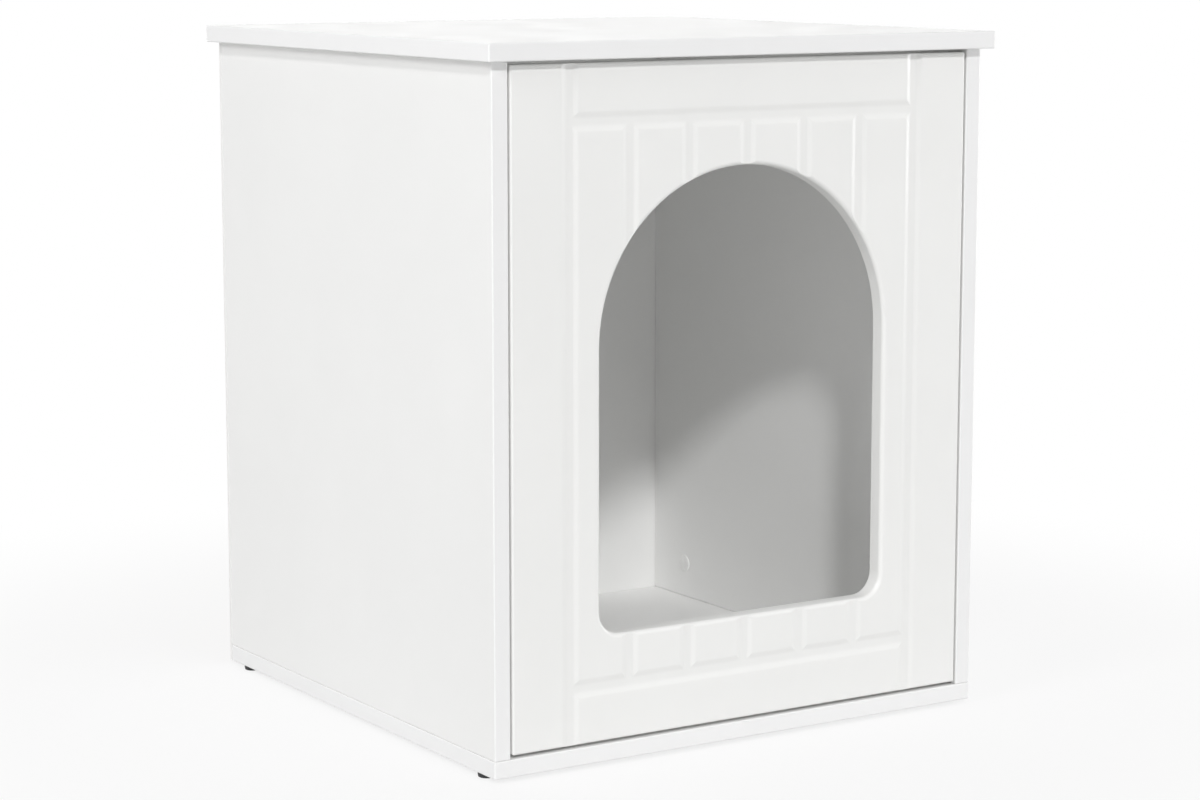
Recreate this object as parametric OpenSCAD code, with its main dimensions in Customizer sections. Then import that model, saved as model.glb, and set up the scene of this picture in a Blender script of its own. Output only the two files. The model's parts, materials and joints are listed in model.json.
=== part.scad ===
// Cat house: a flat-pack cabinet with an arched opening in a panelled door.
// Frame: +Z up, the front faces -Y, the origin is on the floor under the middle of the top board.

/* [Overall] */
// Width of the top board
top_w = 510; // [440:1:620]
// Depth of the top board, front to back
top_d = 510; // [420:1:620]
// Height from the floor to the top face
total_h = 600; // [560:1:720]

/* [Boards] */
// Thickness of the top, bottom and side boards
board_t = 15; // [14:0.5:19]
// Radius on the edges of the boards
edge_r = 1.2; // [0.6:0.1:2.5]
// How far the top board stands out past each side panel
side_overhang = 8; // [2:0.5:20]
// How far the top board stands out past the front edges
front_overhang = 10; // [4:0.5:25]
// How far the top board stands out past the back panel
back_overhang = 10; // [0:0.5:25]
// Thickness of the back panel
back_t = 3; // [2.5:0.1:5]
// Gap between the back panel and the underside of the top board
back_top_gap = 0.5; // [0.2:0.1:2]

/* [Door] */
// Thickness of the door
door_t = 15; // [14:0.5:19]
// Gap between the door and each side panel
door_side_gap = 2; // [1.6:0.1:4]
// Gap between the door and the top board
door_top_gap = 3; // [1:0.1:5]
// Gap between the door and the bottom board
door_bottom_gap = 3; // [1:0.1:5]
// Radius on the edges of the door
door_edge_r = 2; // [0.8:0.1:3]
// How far the door opens, in degrees
door_open_angle = 95; // [80:1:95]

/* [Arched opening] */
// Clear width of the opening, twice the radius of the arch
arch_w = 290; // [200:1:300]
// Height of the sill above the floor
sill_z = 111; // [95:1:160]
// Height of the middle of the arch above the floor
spring_z = 349; // [260:1:360]
// Radius of the two lower corners
sill_corner_r = 20; // [8:1:40]
// Radius rolled onto the front edge of the opening
roll_r = 4; // [2:0.5:8]

/* [Door panelling] */
// Spacing of the upright grooves
groove_pitch = 58.1; // [50:0.1:62]
// Number of upright grooves between the two long ones
bead_count = 5; // [3:2:5]
// Width of a groove at the face of the door
groove_w = 18; // [14:0.5:20]
// Width of the flat bottom of a groove
groove_flat_w = 4.5; // [3:0.5:6]
// Depth of a groove
groove_depth = 1.3; // [0.8:0.1:2.8]
// Number of flats that each side of a groove curves down in
groove_steps = 6; // [4:1:8]
// From the door's top or bottom edge to the middle of the level groove
rail_inset = 47; // [40:1:60]

/* [Cup hinges] */
// From the door's top or bottom edge to the middle of a hinge
hinge_inset = 90; // [70:1:140]
// Diameter of the cup
cup_d = 35; // [34:0.5:36]
// Wood left between the cup and the edge of the door
cup_edge = 3.5; // [3:0.1:5]
// Depth of the cup bore in the door
cup_depth = 12; // [11.6:0.1:12.4]
// Thickness of the wall and the floor of the cup
cup_wall = 0.7; // [0.5:0.1:1]
// Thickness of the flange on the back of the door
flange_t = 1; // [0.8:0.1:1.6]
// Diameter of the round part of the flange
flange_d = 38; // [37:0.5:40]
// Distance between the two cup screws
cup_screw_gap = 45; // [44:0.5:52]
// From the middle of the cup to the line of its screws
cup_screw_offset = 9.5; // [6:0.5:11]
// Distance of the hinge pin from the edge of the door
pin_edge = 9; // [8.5:0.1:10.5]
// Diameter of the hinge pin
pin_d = 2.5; // [2:0.1:2.8]
// Outside radius of the eye round the hinge pin
eye_r = 2.3; // [2.1:0.1:2.4]
// Width of the hinge arm
arm_w = 14; // [12:0.5:15]
// Thickness of the arm's curved neck
neck_t = 2.4; // [1.8:0.1:3]
// Depth of the arm's channel, measured from the mounting plate
channel_h = 11.2; // [10:0.2:14]
// Thickness of the channel's walls
channel_wall = 1.5; // [1.2:0.1:2]
// Radius on the long edges of the arm's channel
channel_edge_r = 2.5; // [2.2:0.1:3]
// Length of the arm's channel
channel_len = 68; // [64:1:76]
// How far the fixing screw can be moved in the arm's slot
fixing_travel = 6; // [3:0.5:8]
// From the back face of the door to the screws of the mounting plate
plate_setback = 37; // [35:1:40]
// Distance between the two screws of a mounting plate
plate_screw_gap = 32; // [30:1:36]
// Thickness of the mounting plate's base
plate_t = 2.8; // [2.2:0.1:3.2]
// Height of the mounting plate's rib above its base
rib_h = 6.7; // [5:0.1:7.5]

/* [Magnetic catch] */
// Height of the catch above the floor
catch_z = 302; // [200:1:400]
// Length of the housing, up the side panel
catch_len = 28; // [24:1:34]
// Depth of the housing, front to back
catch_depth = 15; // [13:0.5:20]
// Radius on the edges of the housing that stand out from the panel
catch_edge_r = 1.5; // [0.5:0.1:2]
// Thickness of the housing's walls
catch_wall = 2; // [1.5:0.1:3]
// Length of each screw ear
catch_ear = 10; // [9:0.5:12]
// Thickness of the screw ears
catch_ear_t = 2.4; // [2:0.1:3.5]
// Thickness of each pole plate
pole_t = 1.5; // [1.2:0.1:2]
// How far the pole plates stand out of the housing
pole_out = 1; // [0.5:0.1:1.5]
// Thickness of the magnet
magnet_t = 4; // [3:0.1:5]
// Thickness of the strike plate
strike_t = 1.2; // [0.8:0.1:2]
// Length of the strike plate
strike_len = 36; // [32:1:44]
// Width of the strike plate
strike_w = 12; // [10:0.5:14]

/* [Cam fittings] */
// From the end of a side panel to the middle of a cam
cam_setback = 34; // [30:0.5:40]
// Diameter of a cam
cam_d = 15; // [14:0.5:16]
// Depth of a cam in the side panel
cam_depth = 12; // [11:0.5:12.5]
// From the front or back edge of a side panel to the nearest cam
cam_inset = 55; // [45:1:80]
// Diameter of a cap over a cam
cap_d = 17; // [16.5:0.5:20]
// Thickness of a cap
cap_t = 1.2; // [0.8:0.1:2]
// Diameter of a bolt's shank
bolt_d = 6; // [5:0.2:7]
// Diameter of a bolt's screwed end
bolt_thread_d = 6.4; // [5.5:0.1:7.4]
// Length of a bolt's screwed end
bolt_thread_len = 11; // [9:0.5:11.5]
// Diameter of the holes that the bolts pass through
bolt_bore_d = 8; // [7.6:0.1:8.5]

/* [Dowels] */
// Diameter of a dowel
dowel_d = 8; // [6:0.5:9]
// Length of a dowel
dowel_len = 30; // [25:1:40]
// Length of a dowel that stands in a level board
dowel_in_board = 10; // [8:0.5:11]
// From a cam to the dowel beside it
dowel_gap = 32; // [24:1:64]

/* [Feet] */
// Height of a foot
foot_h = 4; // [3:0.5:8]
// Diameter of a foot
foot_d = 15; // [12:0.5:15.5]
// From the outside of a side panel to the middle of a foot
foot_side_inset = 8; // [8:0.5:16]
// From the front or back edge of a side panel to the middle of a foot
foot_end_inset = 27; // [15:1:40]
// Length of a foot's nail in the bottom board
foot_nail_len = 10; // [8:0.5:12]

/* [Back panel nails] */
// Number of nails up each side panel
side_nail_count = 5; // [3:1:8]
// Number of nails along the bottom board
bottom_nail_count = 4; // [2:1:7]
// Diameter of a nail
nail_d = 1.4; // [1.2:0.1:2]
// Length of a nail under its head
nail_len = 18; // [15:1:25]
// Diameter of a nail's head
nail_head_d = 3.4; // [3:0.1:4]

/* [Clearances] */
// Room all round a dowel, a cam or a screw in its hole
hole_gap = 0.1; // [0.05:0.05:0.2]
// Room all round a hinge pin in the arm's eye
pin_gap = 0.06; // [0.03:0.01:0.1]
// Room between a piece that turns with the door and one that stays
swing_gap = 0.4; // [0.3:0.05:0.6]
// Gap between the pole plates and the strike plate of a closed door
strike_gap = 0.3; // [0.3:0.05:0.6]

/* [Hidden] */
$fn = 64;

// A small overlap that joins or cuts cleanly
bit = 0.05;
// How far a cut runs out past the faces that it opens
past = 1;

carcass_w = top_w - 2 * side_overhang;
front_y = -top_d / 2 + front_overhang;
back_y = top_d / 2 - back_overhang;
side_back_y = back_y - back_t;
panel_d = side_back_y - front_y;
side_x = carcass_w / 2;
inner_x = side_x - board_t;
floor_z = foot_h + board_t;
ceiling_z = total_h - board_t;
panel_h = ceiling_z - floor_z;
board_mid_x = side_x - board_t / 2;

door_w = 2 * (inner_x - door_side_gap);
door_x = door_w / 2;
door_bottom = floor_z + door_bottom_gap;
door_top = ceiling_z - door_top_gap;
door_h = door_top - door_bottom;
door_back_y = front_y + door_t;
arch_r = arch_w / 2;

lower_hinge_z = door_bottom + hinge_inset;
upper_hinge_z = door_top - hinge_inset;

// Screws: diameter of the shank, length under the head, diameter and height of the head
cup_screw = [3, 11, 6, 2];
plate_screw = [5.4, 14, 9, 2.6];
catch_screw = [3, 12, 6, 2];
strike_screw_d = 3;
strike_screw_len = 11;

// The screws in a hinge arm: their shanks, and the diameter and height of each head
arm_screw_d = 5;
fixing_head = [8, 2.2];
fixing_end_gap = 1;
adjusting_head = [6.5, 1.5];

// Hinge sizes, measured from the edge of the door and from its front face
cup_r = cup_d / 2;
cup_u = cup_edge + cup_r;
cup_floor_v = door_t - cup_depth;
eye_floor_gap = 0.3;
pin_v = cup_floor_v + cup_wall + eye_r + eye_floor_gap;
cup_bar_w = 9;
boss_w = 5.2;
boss_above_pin = 3;
pin_in_boss = 3;
flange_v = door_t + flange_t;
sweep_r = max(norm([pin_edge, door_t - pin_v]),
              norm([pin_edge - cup_u + flange_d / 2, flange_v - pin_v]));
neck_r = sweep_r + swing_gap;
arm_front_v = pin_v + neck_r;
plate_u = -door_side_gap + plate_t;
web_u = plate_u + channel_h - channel_wall;
plate_v = door_t + plate_setback;
fixing_v = plate_v + 13;
adjusting_v = plate_v - 15;
boss_z = arm_w / 2 + swing_gap;
pin_len = 2 * (boss_z + pin_in_boss);
rib_u = plate_u + rib_h;
rib_inset = 1.5;
plate_base_w = arm_w + 2 * channel_wall;
plate_len = 52;
plate_corner_r = 3;
rib_len = 48;
plate_wing_w = 11;

// Catch sizes, measured from the left side panel and from the front
strike_back_y = door_back_y + strike_t;
strike_inset = 1.5;
pole_front_y = strike_back_y + strike_gap;
catch_front_y = pole_front_y + pole_out;
catch_mid_x = -door_x + strike_w / 2 + strike_inset;
catch_ear_w = 9;
pocket_depth = 9;
pocket_w = magnet_t + 2 * pole_t + 2 * hole_gap;
pocket_h = catch_len - 6;
catch_out = catch_mid_x + inner_x + pocket_w / 2 + catch_wall;
magnet_h = pocket_h - 1;

cam_ys = [front_y + cam_inset, side_back_y - cam_inset];
dowel_ys = [cam_ys[0] + dowel_gap, cam_ys[1] - dowel_gap];
foot_ys = [front_y + foot_end_inset, side_back_y - foot_end_inset];
foot_x = side_x - foot_side_inset;
foot_web = 1.2;
bolt_head_d = bolt_d + 1;
bolt_neck_d = bolt_d - 2;
cam_slot = bolt_head_d + 0.6;
nail_head_h = 0.8;
end_nail_z = 40;
end_nail_x = 80;

white = [0.94, 0.94, 0.93];
fibre = [0.62, 0.5, 0.36];
steel = [0.74, 0.75, 0.77];
zinc = [0.68, 0.69, 0.7];
black = [0.12, 0.12, 0.13];
ferrite = [0.25, 0.24, 0.24];
beech = [0.83, 0.68, 0.47];

// Shapes that repeat

// A rectangle with round corners, from its lower left corner
module round_rect(w, h, r) {
    translate([r, 0]) square([w - 2 * r, h]);
    translate([0, r]) square([w, h - 2 * r]);
    for (x = [r, w - r], y = [r, h - r]) translate([x, y]) circle(r);
}

// A board with rounded edges, from its lowest corner
module board(size, r) {
    intersection() {
        linear_extrude(size[2]) round_rect(size[0], size[1], r);
        translate([0, size[1], 0]) rotate([90, 0, 0])
            linear_extrude(size[1]) round_rect(size[0], size[2], r);
        rotate([90, 0, 90]) linear_extrude(size[0]) round_rect(size[1], size[2], r);
    }
}

// A bar or slot along Y, centred, with round ends whose middles are gap apart
module bar_with_round_ends(w, gap) {
    square([w, gap], center = true);
    for (s = [-1, 1]) translate([0, s * gap / 2]) circle(w / 2);
}

// A plain hole or rod along Z, Y or X, from its start
module rod_z(d, len) { cylinder(d = d, h = len); }
module rod_y(d, len) { rotate([-90, 0, 0]) cylinder(d = d, h = len); }
module rod_x(d, len) { rotate([0, 90, 0]) cylinder(d = d, h = len); }

// A screw along +Z with its head's underside at zero: head above, shank below
module pan_screw(screw) {
    d = screw[0];
    len = screw[1];
    head_r = screw[2] / 2;
    head_h = screw[3];
    difference() {
        rotate_extrude() polygon([
            [0, -len], [d * 0.15, -len], [d / 2, -len + d * 0.6], [d / 2, 0], [head_r, 0],
            [head_r, head_h * 0.45], [head_r * 0.68, head_h], [0, head_h]
        ]);
        for (a = [0, 90]) rotate(a)
            translate([-head_r / 2, -d * 0.1, head_h * 0.35]) cube([head_r, d * 0.2, head_h]);
    }
}

// The hole for a screw's shank below zero, when its head stands on a plate of thickness t
module screw_hole(screw, t) {
    translate([0, 0, t - screw[1]]) rod_z(screw[0] + 2 * hole_gap, screw[1] - t + bit);
}

// The four joints between a side panel and a level board: at each, its children stand on +Z
// with the face of the level board at zero and the side panel above it
module at_joints(ys) {
    for (x = [-board_mid_x, board_mid_x], y = ys) {
        translate([x, y, floor_z]) children();
        translate([x, y, ceiling_z]) mirror([0, 0, 1]) children();
    }
}

// Boards

module panel_end_holes() {
    at_joints(cam_ys) translate([0, 0, -bit]) rod_z(bolt_bore_d, cam_setback + bit);
    at_joints(dowel_ys) translate([0, 0, -bit])
        rod_z(dowel_d + 2 * hole_gap, dowel_len - dowel_in_board + 1 + bit);
    at_cams() translate([0, 0, -bit]) rod_z(cam_d + 2 * hole_gap, cam_depth + bit);
}

// Each cam: +Z points from the inner face into the side panel
module at_cams() {
    for (s = [-1, 1], y = cam_ys, z = [floor_z + cam_setback, ceiling_z - cam_setback])
        translate([s * inner_x, y, z]) rotate([0, s * 90, 0]) children();
}

module level_board_holes() {
    at_joints(cam_ys) translate([0, 0, -bolt_thread_len])
        rod_z(bolt_thread_d + 2 * hole_gap, bolt_thread_len + bit);
    at_joints(dowel_ys) translate([0, 0, -dowel_in_board])
        rod_z(dowel_d + 2 * hole_gap, dowel_in_board + bit);
}

module top_board() {
    color(white) difference() {
        translate([-top_w / 2, -top_d / 2, ceiling_z]) board([top_w, top_d, board_t], edge_r);
        level_board_holes();
    }
}

module bottom_board() {
    color(white) difference() {
        translate([-side_x, front_y, foot_h]) board([carcass_w, panel_d, board_t], edge_r);
        level_board_holes();
        at_feet() translate([0, 0, -bit]) rod_z(nail_d + 2 * hole_gap, foot_nail_len + bit);
        at_back_nails() translate([0, 0, -bit]) rod_z(nail_d + 2 * hole_gap, nail_len + bit);
    }
}

module side_panel(s) {
    difference() {
        translate([s > 0 ? inner_x : -side_x, front_y, floor_z])
            board([board_t, panel_d, panel_h], edge_r);
        panel_end_holes();
        at_back_nails() translate([0, 0, -bit]) rod_z(nail_d + 2 * hole_gap, nail_len + bit);
    }
}

module left_side_panel() {
    color(white) difference() {
        side_panel(-1);
        at_catch_screws() mirror([0, 0, 1]) screw_hole(catch_screw, catch_ear_t);
    }
}

module right_side_panel() {
    color(white) difference() {
        side_panel(1);
        at_plate_screws() screw_hole(plate_screw, plate_t);
    }
}

module back_panel() {
    color(white) difference() {
        translate([-side_x, side_back_y, foot_h])
            cube([carcass_w, back_t, ceiling_z - back_top_gap - foot_h]);
        at_back_nails() translate([0, 0, -back_t - bit])
            rod_z(nail_d + 2 * hole_gap, back_t + 2 * bit);
    }
}

// Each nail of the back panel: +Z points forward from the edge that the panel lies on
module at_back_nails() {
    side_step = (panel_h - 2 * end_nail_z) / (side_nail_count - 1);
    bottom_step = (carcass_w - 2 * end_nail_x) / (bottom_nail_count - 1);
    for (x = [-board_mid_x, board_mid_x], i = [0 : side_nail_count - 1])
        translate([x, side_back_y, floor_z + end_nail_z + i * side_step]) rotate([90, 0, 0]) children();
    for (i = [0 : bottom_nail_count - 1])
        translate([-side_x + end_nail_x + i * bottom_step, side_back_y, foot_h + board_t / 2])
            rotate([90, 0, 0]) children();
}

module back_panel_nails() {
    color(steel) at_back_nails() translate([0, 0, -back_t]) nail(nail_len + back_t - 1, nail_head_d);
}

// A nail along +Z with its head below zero
module nail(len, head_d) {
    rotate_extrude() polygon([
        [0, -nail_head_h], [head_d / 2, -nail_head_h], [head_d / 2, 0], [nail_d / 2, 0],
        [nail_d / 2, len - 2 * nail_d], [0, len]
    ]);
}

// Door

// The outline of the opening, looked at from the front, with Z upwards
module arch_outline(grow) {
    translate([0, spring_z]) circle(arch_r + grow, $fn = 180);
    translate([-arch_r - grow, sill_z + sill_corner_r])
        square([arch_w + 2 * grow, spring_z - sill_z - sill_corner_r]);
    translate([-arch_r + sill_corner_r, sill_z - grow])
        square([arch_w - 2 * sill_corner_r, sill_corner_r + grow + bit]);
    for (s = [-1, 1])
        translate([s * (arch_r - sill_corner_r), sill_z + sill_corner_r]) circle(sill_corner_r + grow);
}

// What the roll takes off one edge: the corner of a square outside a circle
module roll_section(r) {
    difference() {
        translate([r - bit, -bit]) square([roll_r + bit, roll_r + bit]);
        translate([r + roll_r, roll_r]) circle(roll_r);
        translate([r + roll_r, -past]) square([past, roll_r + 2 * past]);
        translate([r - past, roll_r]) square([roll_r + 2 * past, past]);
    }
}

// The roll along the whole edge of the opening, with Y as the depth from the face
module arch_roll() {
    translate([0, 0, spring_z]) rotate([-90, 0, 0]) rotate([0, 0, 180])
        rotate_extrude(angle = 180, $fn = 180) roll_section(arch_r);
    for (s = [0, 1]) mirror([s, 0, 0]) {
        translate([arch_r - sill_corner_r, 0, sill_z + sill_corner_r]) rotate([-90, 0, 0])
            rotate_extrude(angle = 90) roll_section(sill_corner_r);
        translate([0, 0, sill_z + sill_corner_r])
            linear_extrude(spring_z - sill_z - sill_corner_r) roll_section(arch_r);
    }
    translate([-arch_r + sill_corner_r, 0, sill_z]) rotate([0, 90, 0])
        linear_extrude(arch_w - 2 * sill_corner_r) roll_section(0);
}

// A groove's section, with Y as the depth from the face. Each side runs down in a soft S
module groove_section() {
    side = [for (i = [0 : groove_steps]) [
        groove_w / 2 - (groove_w - groove_flat_w) / 2 * i / groove_steps,
        groove_depth * (1 - cos(180 * i / groove_steps)) / 2
    ]];
    other_side = [for (i = [groove_steps : -1 : 0]) [-side[i][0], side[i][1]]];
    polygon([[groove_w / 2, -past], each side, each other_side, [-groove_w / 2, -past]]);
}

module upright_groove(x, z0, z1) {
    translate([x, 0, z0]) linear_extrude(z1 - z0) groove_section();
}

module level_groove(z) {
    long = (bead_count + 1) * groove_pitch;
    translate([-long / 2, 0, z]) rotate([90, 0, 90])
        linear_extrude(long) mirror([1, -1, 0]) groove_section();
}

module door_panelling() {
    low = door_bottom + rail_inset;
    high = door_top - rail_inset;
    half = (bead_count + 1) / 2;
    for (i = [-half, half]) upright_groove(i * groove_pitch, door_bottom - past, door_top + past);
    for (i = [1 - half : half - 1]) upright_groove(i * groove_pitch, low, high);
    for (z = [low, high]) level_groove(z);
}

module door() {
    color(white) difference() {
        translate([-door_x, front_y, door_bottom]) board([door_w, door_t, door_h], door_edge_r);
        translate([0, door_back_y + bit, 0]) rotate([90, 0, 0])
            linear_extrude(door_t + 2 * bit) arch_outline(0);
        translate([0, front_y, 0]) arch_roll();
        translate([0, front_y, 0]) door_panelling();
        at_hinges() {
            translate([cup_u, cup_floor_v, 0]) rod_y(cup_d + 2 * hole_gap, cup_depth + bit);
            at_cup_screws() screw_hole(cup_screw, flange_t);
        }
        at_strike_screw() screw_hole([strike_screw_d, strike_screw_len], strike_t);
    }
}

// Cup hinges. Each is drawn with X from the edge of the door towards its middle,
// Y from the front face backwards and Z from the middle of the hinge

module at_hinge(z) {
    translate([door_x, front_y, z]) mirror([1, 0, 0]) children();
}

module at_hinges() {
    at_hinge(lower_hinge_z) children();
    at_hinge(upper_hinge_z) children();
}

// +Z points out of the back of the door, from its face
module at_cup_screws() {
    for (s = [-1, 1])
        translate([cup_u + cup_screw_offset, door_t, s * cup_screw_gap / 2]) rotate([-90, 0, 0]) children();
}

// +Z points out of the side panel, from its face
module at_plate_screws() {
    at_hinges() for (s = [-1, 1])
        translate([-door_side_gap, plate_v, s * plate_screw_gap / 2]) rotate([0, 90, 0]) children();
}

module hinge_cup() {
    inner = cup_d - 2 * cup_wall;
    difference() {
        union() {
            translate([cup_u, cup_floor_v, 0]) rod_y(cup_d, cup_depth);
            translate([cup_u, door_t, 0]) rod_y(flange_d, flange_t);
            translate([cup_u + cup_screw_offset, door_t, 0]) rotate([-90, 0, 0]) linear_extrude(flange_t)
                bar_with_round_ends(cup_bar_w, cup_screw_gap);
        }
        difference() {
            translate([cup_u, cup_floor_v + cup_wall, 0]) rod_y(inner, cup_depth + flange_t);
            for (s = [0, 1]) mirror([0, 0, s]) translate([pin_edge - boss_w / 2, 0, boss_z])
                cube([boss_w, pin_v + boss_above_pin, cup_r]);
        }
        hinge_pin();
        at_cup_screws() translate([0, 0, -past]) rod_z(cup_screw[0] + 2 * hole_gap, flange_t + 2 * past);
    }
}

module hinge_pin() {
    translate([pin_edge, pin_v, -pin_len / 2]) rod_z(pin_d, pin_len);
}

// A channel's outline, open at zero, with X towards its web and its two edges there rounded
module channel_outline(w, h, r) {
    translate([0, -w / 2]) square([h - r, w]);
    translate([0, -w / 2 + r]) square([h, w - 2 * r]);
    for (s = [-1, 1]) translate([h - r, s * (w / 2 - r)]) circle(r);
}

// The neck bends round the edge of the door in a quarter ring about the pin, then joins the channel
module hinge_arm() {
    difference() {
        union() {
            translate([0, 0, -arm_w / 2]) linear_extrude(arm_w) {
                translate([pin_edge, pin_v]) {
                    circle(eye_r);
                    translate([0, -neck_t / 2]) square([neck_r + neck_t / 2, neck_t]);
                    intersection() {
                        difference() {
                            circle(neck_r + neck_t, $fn = 96);
                            circle(neck_r, $fn = 96);
                        }
                        translate([0, -neck_t / 2]) square(2 * neck_r);
                    }
                }
                translate([plate_u, arm_front_v]) square([pin_edge - plate_u + bit, neck_t]);
            }
            translate([plate_u, arm_front_v, 0]) rotate([-90, 0, 0]) linear_extrude(channel_len)
                channel_outline(arm_w + 2 * channel_wall, channel_h, channel_edge_r);
        }
        translate([plate_u - past, arm_front_v + neck_t, 0]) rotate([-90, 0, 0]) linear_extrude(channel_len)
            channel_outline(arm_w, channel_h - channel_wall + past, channel_edge_r - channel_wall);
        translate([pin_edge, pin_v, -arm_w]) rod_z(pin_d + 2 * pin_gap, 2 * arm_w);
        translate([plate_u, adjusting_v, 0]) rod_x(arm_screw_d + 2 * hole_gap, channel_h + past);
        translate([web_u - past, fixing_v, 0]) rotate([90, 0, 90]) linear_extrude(channel_wall + 2 * past)
            rotate(90) bar_with_round_ends(arm_screw_d + 2 * hole_gap, fixing_travel);
    }
}

module mounting_plate() {
    difference() {
        union() {
            translate([-door_side_gap, plate_v, 0]) rotate([0, 90, 0]) linear_extrude(plate_t) {
                rotate(90) bar_with_round_ends(plate_wing_w, plate_screw_gap);
                translate([-plate_base_w / 2, -plate_len / 2])
                    round_rect(plate_base_w, plate_len, plate_corner_r);
            }
            translate([plate_u - bit, plate_v - rib_len / 2, -arm_w / 2 + rib_inset])
                cube([rib_h + bit, rib_len, arm_w - 2 * rib_inset]);
        }
        translate([-door_side_gap - past, fixing_v, 0])
            rod_x(arm_screw_d + 2 * hole_gap, rib_h + plate_t + 2 * past);
        for (s = [-1, 1]) translate([-door_side_gap - past, plate_v, s * plate_screw_gap / 2])
            rod_x(plate_screw[0] + 2 * hole_gap, plate_t + 2 * past);
    }
}

module upper_hinge_cup() { color(zinc) at_hinge(upper_hinge_z) hinge_cup(); }
module upper_hinge_pin() { color(steel) at_hinge(upper_hinge_z) hinge_pin(); }
module upper_hinge_arm() { color(steel) at_hinge(upper_hinge_z) hinge_arm(); }
module upper_mounting_plate() { color(zinc) at_hinge(upper_hinge_z) mounting_plate(); }
module lower_hinge_cup() { color(zinc) at_hinge(lower_hinge_z) hinge_cup(); }
module lower_hinge_pin() { color(steel) at_hinge(lower_hinge_z) hinge_pin(); }
module lower_hinge_arm() { color(steel) at_hinge(lower_hinge_z) hinge_arm(); }
module lower_mounting_plate() { color(zinc) at_hinge(lower_hinge_z) mounting_plate(); }

module cup_screws() {
    color(steel) at_hinges() at_cup_screws() translate([0, 0, flange_t]) pan_screw(cup_screw);
}

module plate_screws() {
    color(steel) at_plate_screws() translate([0, 0, plate_t]) pan_screw(plate_screw);
}

// They end a little short of the side panel
module arm_fixing_screws() {
    reach = channel_h + plate_t - fixing_end_gap;
    color(steel) at_hinges() translate([web_u + channel_wall, fixing_v, 0]) rotate([0, 90, 0])
        pan_screw([arm_screw_d, reach, each fixing_head]);
}

// Their ends rest on the mounting plate's rib
module side_adjusting_screws() {
    reach = web_u + channel_wall - rib_u;
    color(steel) at_hinges() translate([web_u + channel_wall, adjusting_v, 0]) rotate([0, 90, 0])
        pan_screw([arm_screw_d, reach, each adjusting_head]);
}

// Magnetic catch, on the left side panel behind the door

// +Z points into the left side panel from the outer face of an ear
module at_catch_screws() {
    for (s = [-1, 1])
        translate([-inner_x, catch_front_y + catch_depth / 2, catch_z + s * (catch_len + catch_ear) / 2])
            rotate([0, -90, 0]) children();
}

// +Z points out of the back of the door, from its face
module at_strike_screw() {
    translate([catch_mid_x, door_back_y, catch_z]) rotate([-90, 0, 0]) children();
}

// The pocket's lowest corner, on the side of the panel
module at_pocket() {
    translate([catch_mid_x - pocket_w / 2, 0, catch_z - pocket_h / 2]) children();
}

module catch_housing() {
    color(white) difference() {
        union() {
            translate([-inner_x, catch_front_y, catch_z - catch_len / 2]) rotate([90, 0, 90])
                linear_extrude(catch_out) round_rect(catch_depth, catch_len, catch_edge_r);
            translate([-inner_x, catch_front_y + catch_depth / 2, catch_z]) rotate([90, 0, 90])
                linear_extrude(catch_ear_t) bar_with_round_ends(catch_ear_w, catch_len + catch_ear);
        }
        at_pocket() translate([0, catch_front_y - past, 0]) cube([pocket_w, pocket_depth + past, pocket_h]);
        at_catch_screws() translate([0, 0, -catch_ear_t - past])
            rod_z(catch_screw[0] + 2 * hole_gap, catch_ear_t + 2 * past);
    }
}

// A pole plate lies on each side of the magnet
module catch_magnet() {
    color(ferrite) at_pocket() translate([pole_t + hole_gap, catch_front_y + 1, (pocket_h - magnet_h) / 2])
        cube([magnet_t, pocket_depth - 1, magnet_h]);
}

module catch_pole_plates() {
    color(steel) at_pocket() for (x = [hole_gap, hole_gap + pole_t + magnet_t])
        translate([x, pole_front_y, (pocket_h - magnet_h) / 2])
            cube([pole_t, pole_out + pocket_depth, magnet_h]);
}

module catch_screws() {
    color(steel) at_catch_screws() mirror([0, 0, 1]) translate([0, 0, catch_ear_t])
        pan_screw(catch_screw);
}

module strike_plate() {
    color(steel) difference() {
        translate([catch_mid_x, door_back_y, catch_z]) rotate([-90, 0, 0]) linear_extrude(strike_t)
            translate([-strike_w / 2, -strike_len / 2]) round_rect(strike_w, strike_len, 2);
        at_strike_screw() translate([0, 0, -past])
            rod_z(strike_screw_d + 2 * hole_gap, strike_t + 2 * past);
        at_strike_screw() cylinder(d1 = strike_screw_d, d2 = strike_screw_d + 3, h = strike_t);
    }
}

module strike_screw() {
    color(steel) at_strike_screw() difference() {
        rotate_extrude() polygon([
            [0, strike_t - strike_screw_len], [0.5, strike_t - strike_screw_len],
            [strike_screw_d / 2, strike_t - strike_screw_len + 2], [strike_screw_d / 2, 0],
            [strike_screw_d / 2 + 1.4, strike_t - 0.05], [0, strike_t - 0.05]
        ]);
        for (a = [0, 90]) rotate(a) translate([-1.2, -0.3, strike_t - 0.9]) cube([2.4, 0.6, 2]);
    }
}

// Cam fittings and dowels

module cam_bolts() {
    stem = cam_setback - 3;
    color(steel) at_joints(cam_ys) rotate_extrude() polygon([
        [0, -bolt_thread_len], [bolt_thread_d / 2 - 0.8, -bolt_thread_len],
        [bolt_thread_d / 2, -bolt_thread_len + 1.2], [bolt_thread_d / 2, 0],
        [bolt_d / 2 + 0.8, 0], [bolt_d / 2 + 0.8, 1.5], [bolt_d / 2, 1.5],
        [bolt_d / 2, stem - 6], [bolt_neck_d / 2, stem - 5], [bolt_neck_d / 2, stem - 2],
        [bolt_head_d / 2, stem - 1], [bolt_head_d / 2, stem + 1], [bolt_neck_d / 2, stem + 2.5],
        [0, stem + 2.5]
    ]);
}

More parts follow.
